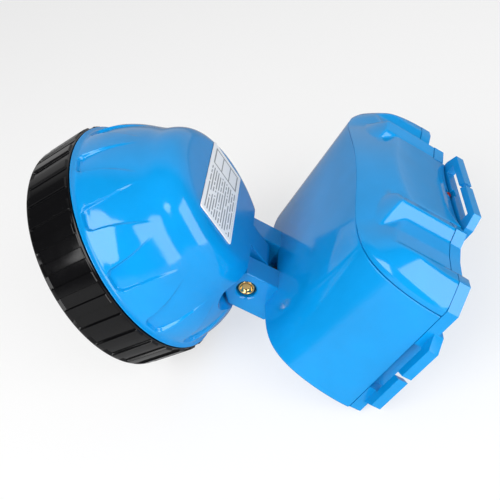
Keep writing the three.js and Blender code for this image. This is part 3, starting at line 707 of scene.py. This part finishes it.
def make_shell():
    """The D-shaped front shell: rounded bottom edge, walls, lip, and the inside back down to the bottom."""
    rows = []
    outer = footprint(0)
    for share in (0.01, 0.2, 0.4, 0.6, 0.8, 0.93):
        rows.append([(x, y, bottom_height(x, y)) for x, y in shrunk(footprint(SHELL_EDGE), share)])
    for k in range(6):
        turn_angle = pi / 2 * k / 5
        inset = SHELL_EDGE * (1 - sin(turn_angle))
        lift = SHELL_EDGE * (1 - cos(turn_angle))
        rows.append([(x, y, bottom_height(x, y) + lift) for x, y in footprint(inset)])
    for share in (0.25, 0.5, 0.75):
        rows.append([(x, y, bottom_height(x, y) * (1 - share) + seam_height(x) * share) for x, y in outer])
    for k in range(5):
        turn_angle = pi / 2 * k / 4
        inset = SHELL_LIP * (1 - cos(turn_angle))
        drop = SHELL_LIP * (1 - sin(turn_angle))
        rows.append([(x, y, seam_height(x) - drop) for x, y in footprint(inset)])
    inner = footprint(SHELL_WALL, REAR_Y - 0.9)
    rows.append([(x, y, seam_height(x)) for x, y in inner])
    rows.append([(x, y, 30) for x, y in inner])
    for share in (1, 0.6, 0.2, 0.01):
        rows.append([(x, y, bottom_height(x, y) + SHELL_WALL) for x, y in shrunk(inner, share)])
    shell = mesh_object("shell", *loft(rows), BOX)

    ear = circle(EAR_RADIUS, count=44, start=116, end=220)
    ear += [(-2.6, -9), (12.6, -9), (17.5, -1), (13.5, 1), (12.5, 7)]
    for low, high in ((EAR_INNER, EAR_OUTER), (-EAR_OUTER, -EAR_INNER)):
        modify(shell, prism(ear, "x", low, high, BOX, 0.5), "UNION")
    modify(shell, prism(LEAD_HOLE, "x", -LEAD_HOLE_X, LEAD_HOLE_X, BOX))
    modify(shell, prism(circle(HINGE_BORE), "x", -20, 20, BOX))
    counterbore = [(0.001, 14.2), (3.7, 14.2), (3.7, 17.1), (3.9, 17.35), (4.3, 17.62), (4.4, 20)]
    counterbore.append((0.001, 20))
    modify(shell, spun(counterbore, BOX, "x", 96))
    modify(shell, prism(circle(NUT_SEAT, count=6), "x", -20, -14.2, BOX))
    modify(shell, prism(circle(SOCKET_BORE, SOCKET_PLACE), "z", -6, 8, BOX))
    finish_piece(shell, "shell", "battery_box", blue, ["front_shell"], 30)


# (distance from the middle, height) across the cap, without its ridges
CROSS = [
    (0, 63.5), (20.5, 63.5), (22.5, 62.6), (27, 61.9), (29.6, 61.2), (35, 59.7), (41, 59.2), (45, 61.2),
    (60, 61.2),
]
CHANNEL_X, CHANNEL_Z = 21.0, 63.5
RIDGE_X, RIDGE_TOP, RIDGE_FRONT_Y = 26.2, 65.0, 19.2
RIDGE_INNER_SLOPE, RIDGE_OUTER_SLOPE, RIDGE_END_SLOPE = 0.288, 1.118, 1.7
FRONT_SLOPE, CORNER_SLOPE, CORNER_BAND = 0.6, 1.11, 2.8
ROUNDING = np.linspace(-0.5, 0.5, 9)


def soft_min(a, b, blend):
    """The smaller of two heights, with the corner between them rounded."""
    h = np.maximum(blend - np.abs(a - b), 0) / blend
    return np.minimum(a, b) - h * h * blend / 4


def soft_max(a, b, blend):
    return -soft_min(-a, -b, blend)


def cross_height(x):
    """The cap's top without its ridges, its corners rounded by averaging."""
    xs, zs = zip(*CROSS)
    return sum(np.interp(np.abs(x) + offset, xs, zs) for offset in ROUNDING) / len(ROUNDING)


def ridge_height(x):
    """One ridge on each side, with a gentle inner and a steep outer flank."""
    total = 0
    for offset in ROUNDING:
        across = np.abs(x) + offset
        step = np.where(across < CHANNEL_X, 1.2, RIDGE_INNER_SLOPE)
        inner = CHANNEL_Z + step * (across - CHANNEL_X)
        total = total + np.minimum(inner, RIDGE_TOP - RIDGE_OUTER_SLOPE * (across - RIDGE_X))
    return total / len(ROUNDING)


def outline_distance(x, y):
    """How far points lie inside the box's D outline."""
    points = np.array(footprint(0, steps=150, rear_steps=2)[:301])
    a, b = points[:-1], points[1:]
    span = b - a
    best = np.full(x.shape, 1e9)
    for (ax, ay), (sx, sy) in zip(a, span):
        t = np.clip(((x - ax) * sx + (y - ay) * sy) / (sx * sx + sy * sy), 0, 1)
        best = np.minimum(best, np.hypot(x - ax - t * sx, y - ay - t * sy))
    return best


def cap_height(x, y):
    """The cap's top: its cross profile, cut off by the slope up from the seam, and the two ridges."""
    corner = np.clip((np.abs(x) - 30) / 20, 0, 1)
    corner = corner * corner * (3 - 2 * corner)
    slope = FRONT_SLOPE + (CORNER_SLOPE - FRONT_SLOPE) * corner
    seam = SEAM_Z + SEAM_RISE * np.cos(pi / 2 * np.minimum(1, np.abs(x) / SEAM_HALF)) ** 2
    inwards = outline_distance(x, y)
    rounded = 0.9 * corner * np.clip(1 - inwards / 1.3, 0, 1) ** 2
    front = seam + GAP + CORNER_BAND * corner + slope * inwards - rounded
    end = RIDGE_TOP + RIDGE_END_SLOPE * (y - RIDGE_FRONT_Y) - 0.035 * (np.abs(x) - 25) ** 2
    low = soft_min(cross_height(x), front, 0.8)
    return soft_max(low, soft_min(ridge_height(x), end, 1.2), 0.3)


CAP_ROWS = 84
TONGUE_X, TONGUE_BOTTOM = 20.2, 59.6
INDICATOR = (-1.6, 44.3)


def make_cap():
    """The cap over a grid that is close at the ridges and the outline, with its tongue over the top loop."""
    half = [*np.arange(0, 19, 1.9), *np.arange(19, 48, 0.29), *np.arange(48, 54.2, 0.4)]
    half += [54.2, 54.45, 54.65, 54.8, 54.9, 54.96, 55.0]
    xs = np.array([-x for x in reversed(half[1:])] + half)
    inner = np.minimum(np.abs(xs) / HALF_WIDTH, 1)
    front_y = REAR_Y - (REAR_Y - FRONT_Y) * (1 - inner**SIDE_EXPONENT) ** (1 / NOSE_EXPONENT)
    share = np.linspace(0, 1, CAP_ROWS) ** 1.25
    x = np.repeat(xs[None, :], CAP_ROWS, 0)
    y = front_y[None, :] + share[:, None] * (REAR_Y - front_y[None, :])
    top = cap_height(x, y)
    count = len(xs)
    vertices = [(float(a), float(b), float(c)) for a, b, c in zip(x.ravel(), y.ravel(), top.ravel())]
    faces = []
    for r in range(CAP_ROWS - 1):
        for c in range(count - 1):
            i = r * count + c
            faces.append((i, i + 1, i + count + 1, i + count))
    rim = list(range(count)) + [r * count + count - 1 for r in range(1, CAP_ROWS)]
    rim += [(CAP_ROWS - 1) * count + c for c in range(count - 2, -1, -1)]
    rim += [r * count for r in range(CAP_ROWS - 2, 0, -1)]

    def skirt(previous, place):
        start = len(vertices)
        for v in rim:
            vertices.append(place(vertices[v]))
        for i in range(len(rim)):
            j = (i + 1) % len(rim)
            faces.append((previous[i], start + i, start + j, previous[j]))
        return list(range(start, start + len(rim)))

    def lower(v, drop, amount):
        """A rim point moved down to just above the seam, and inwards by amount."""
        forward = amount if v[1] < REAR_Y - 1 else 0
        x0 = v[0] * (1 - amount / HALF_WIDTH)
        y0 = v[1] + forward * (1 - v[0] ** 2 / 3300)
        return (x0, y0, min(v[2], seam_height(v[0]) + GAP + drop))

    ring = rim
    for drop, amount in ((0.35, 0), (0.1, 0.1), (0.0, 0.35), (0.0, 2.0)):
        ring = skirt(ring, lambda v: lower(v, drop, amount))
    faces.append(tuple(reversed(ring)))
    cap = mesh_object("cap", vertices, faces, BOX)
    bm = bmesh.new()
    bm.from_mesh(cap.data)
    bmesh.ops.triangulate(bm, faces=[f for f in bm.faces if len(f.verts) > 4])
    bm.to_mesh(cap.data)
    bm.free()

    rows = []
    for y_step in np.concatenate([[37.0, 38.4], np.linspace(39.0, 44.4, 28), [44.6, 44.75, 44.82]]):
        row = []
        for px in np.linspace(-TONGUE_X, TONGUE_X, 81):
            start = 39.3 + 5.4 * (abs(px) / TONGUE_X) ** 4
            fall = max(0.0, y_step - start)
            z = CHANNEL_Z - 0.26 * fall * smoothstep(-0.2, 0.9, fall)
            z -= 0.35 * smoothstep(TONGUE_X - 0.4, TONGUE_X, abs(px))
            row.append((px, y_step, z - 0.35 * smoothstep(44.4, 44.82, y_step)))
        row += [(TONGUE_X, y_step, TONGUE_BOTTOM), (-TONGUE_X, y_step, TONGUE_BOTTOM)]
        rows.append(row)
    modify(cap, mesh_object("tongue", *loft(rows), BOX), "UNION")
    modify(cap, prism(circle(1.9, INDICATOR, 40), "z", 55, 70, BOX))
    finish_piece(cap, "cap", "battery_box", blue, ["top_cap"], 30)


def bevelled_copy(source, name, body, material, width):
    """The CAD solid with its flat faces merged and every edge rounded."""
    mesh = frame["nodes"][source].data.copy()
    made = bpy.data.objects.new(name, mesh)
    scene.collection.objects.link(made)
    bm = bmesh.new()
    bm.from_mesh(mesh)
    bmesh.ops.remove_doubles(bm, verts=bm.verts, dist=2e-6)
    bmesh.ops.dissolve_limit(bm, angle_limit=radians(1), verts=bm.verts, edges=bm.edges)
    bm.to_mesh(mesh)
    bm.free()
    bevel_object(made, width)
    return finish_piece(made, name, body, material, [source], 30)


def make_hinge():
    """The hinge screw, with a rolled rim and a dished centre, and its nut in the far ear."""
    head = [
        (0.001, -16.4), (1.9, -16.4), (1.9, 14.8), (2.9, 14.8), (3.05, 15.0), (3.1, 15.9), (3.02, 16.3),
        (2.85, 16.5), (2.62, 16.56), (2.4, 16.48), (2.2, 16.2), (1.95, 15.8), (1.6, 15.5), (1.15, 15.32),
        (0.6, 15.24), (0.001, 15.22),
    ]
    rivet = spun(head, BOX, "x", 96)
    finish_piece(rivet, "hinge_rivet", "battery_box", brass, ["hinge_screw"], 40)
    bevelled_copy("hinge_nut", "hinge_nut_far", "battery_box", brass, 0.2)


def make_charge_led():
    radius, bottom, shoulder, top = 1.3, 57.8, 61.2, 62.6
    body = [(0.001, bottom), (radius, bottom), (radius, shoulder)]
    for t in np.linspace(0.1, pi / 2 - 0.04, 14):
        body.append((radius * cos(t), shoulder + (top - shoulder) * sin(t)))
    body.append((0.001, top))
    lamp = spun(body, BOX, "z", 40, INDICATOR)
    finish_piece(lamp, "charge_light", "battery_box", led_red, ["charge_led"])


LEAD_RADIUS = 1.1


def make_lead():
    """The short round lead that leaves the box between the ears."""
    path = smooth_path([(15, 1.7), (12.5, 1.7), (11, 1.5), (9.9, 0.9), (9.3, 0.1)], 0.4)
    rows = []
    for i, p in enumerate(path):
        along = (path[min(len(path) - 1, i + 1)] - path[max(0, i - 1)]).normalized()
        across = Vector((-along.y, along.x)) * LEAD_RADIUS
        turns = np.linspace(0, 2 * pi, 24, endpoint=False)
        rows.append([(LEAD_RADIUS * cos(t), p.x + across.x * sin(t), p.y + across.y * sin(t)) for t in turns])
    lead = mesh_object("lead", *loft(rows), BOX)
    finish_piece(lead, "lead_stub", "battery_box", soft_black, ["lamp_lead"], 40)


make_housing()
make_ring()
make_optics()
make_label()
make_switch()
make_shell()
make_cap()
bevelled_copy("back_plate", "plate", "battery_box", blue, 0.6)
make_hinge()
make_charge_led()
make_lead()
for number in range(1, 5):
    bevelled_copy(f"plate_screw_{number}", f"rear_screw_{number}", "battery_box", steel, 0.12)

# ------------------------------------------------------------------ CAD solids that keep their own shape
KEPT = {
    "battery_cell_lower": sleeve, "battery_cell_upper": sleeve, "cell_holder": grey,
    "contact_strip_near": steel, "contact_strip_far": steel, "charger_board": board_green,
    "charge_socket": soft_black, "hinge_washer_near": steel, "hinge_washer_far": steel,
    "lens_gasket": soft_black, "heat_sink": aluminium, "switch_body": grey,
}
for name, material in KEPT.items():
    data = frame["nodes"][name].data
    data.materials.clear()
    data.materials.append(material)

# ------------------------------------------------------------------ floor, light and world
floor_mesh = bpy.data.meshes.new("floor")
floor_mesh.from_pydata([(x, y, 0) for x, y in circle(6.0, count=96)], [], [tuple(range(96))])
floor = bpy.data.objects.new("floor", floor_mesh)
scene.collection.objects.link(floor)
floor_material, floor_shader = new_material("pale_floor", (0.32, 0.32, 0.32), 0.7)
floor_shader.inputs["Specular IOR Level"].default_value = 0.1
floor_shader.inputs["Emission Color"].default_value = (1, 1, 1, 1)
# the floor glows a little, less in reflections, as a lit studio sweep does
is_reflection = node(floor_material, "ShaderNodeLightPath").outputs["Is Glossy Ray"]
glow = to_range(floor_material, is_reflection, 0, 1, 0.655, 0.2)
connect(floor_material, floor_shader, "Emission Strength", glow)
floor_mesh.materials.append(floor_material)

TARGET = Vector((0, 0, 0.045))


def softbox(name, azimuth, elevation, distance, width, height, power, glossy=True):
    """An area light aimed at the lamp, in metres and watts. Azimuth 0 is the -Y side and 90 the +X side."""
    data = bpy.data.lights.new(name, "AREA")
    data.shape = "RECTANGLE"
    data.size, data.size_y, data.energy = width, height, power
    made = bpy.data.objects.new(name, data)
    scene.collection.objects.link(made)
    az, el = radians(azimuth), radians(elevation)
    away = Vector((cos(el) * sin(az), -cos(el) * cos(az), sin(el)))
    made.location = TARGET + away * distance
    made.rotation_euler = away.to_track_quat("Z", "Y").to_euler()
    made.visible_glossy = glossy
    made.visible_camera = False
    return made


softbox("key_box", 60, 36, 0.8, 0.60, 0.58, 5.5)
softbox("side_box", 137, 22, 0.8, 0.535, 0.78, 5.2)
softbox("overhead", -20, 80, 1.3, 1.6, 1.6, 1.5, glossy=False)

world = bpy.data.worlds.new("studio")
scene.world = world
world.use_nodes = True
world.cycles.sampling_method = "NONE"
tree = world.node_tree
tree.nodes.clear()
output = tree.nodes.new("ShaderNodeOutputWorld")
paths = tree.nodes.new("ShaderNodeLightPath")
place = tree.nodes.new("ShaderNodeTexCoord")
facing = tree.nodes.new("ShaderNodeVectorMath")
facing.operation = "DOT_PRODUCT"
facing.inputs[1].default_value = (-0.92, 0.113, 0.375)
tree.links.new(place.outputs["Generated"], facing.inputs[0])
ramp = tree.nodes.new("ShaderNodeMapRange")
# the far side of the studio is bright and the camera's side dark, as the reflections show
for key, number in (("From Min", 0.45), ("From Max", 0.7), ("To Min", 0.07), ("To Max", 0.7)):
    ramp.inputs[key].default_value = number
tree.links.new(facing.outputs["Value"], ramp.inputs["Value"])


def world_light(strength):
    made = tree.nodes.new("ShaderNodeBackground")
    made.inputs["Color"].default_value = (1, 1, 1, 1)
    made.inputs["Strength"].default_value = strength
    return made


seen, soft_light, reflected = world_light(0.95), world_light(0.26), world_light(1.0)
tree.links.new(ramp.outputs["Result"], reflected.inputs["Strength"])
inner_mix = tree.nodes.new("ShaderNodeMixShader")
tree.links.new(paths.outputs["Is Glossy Ray"], inner_mix.inputs["Fac"])
tree.links.new(soft_light.outputs[0], inner_mix.inputs[1])
tree.links.new(reflected.outputs[0], inner_mix.inputs[2])
outer_mix = tree.nodes.new("ShaderNodeMixShader")
tree.links.new(paths.outputs["Is Camera Ray"], outer_mix.inputs["Fac"])
tree.links.new(inner_mix.outputs[0], outer_mix.inputs[1])
tree.links.new(seen.outputs[0], outer_mix.inputs[2])
tree.links.new(outer_mix.outputs[0], output.inputs["Surface"])
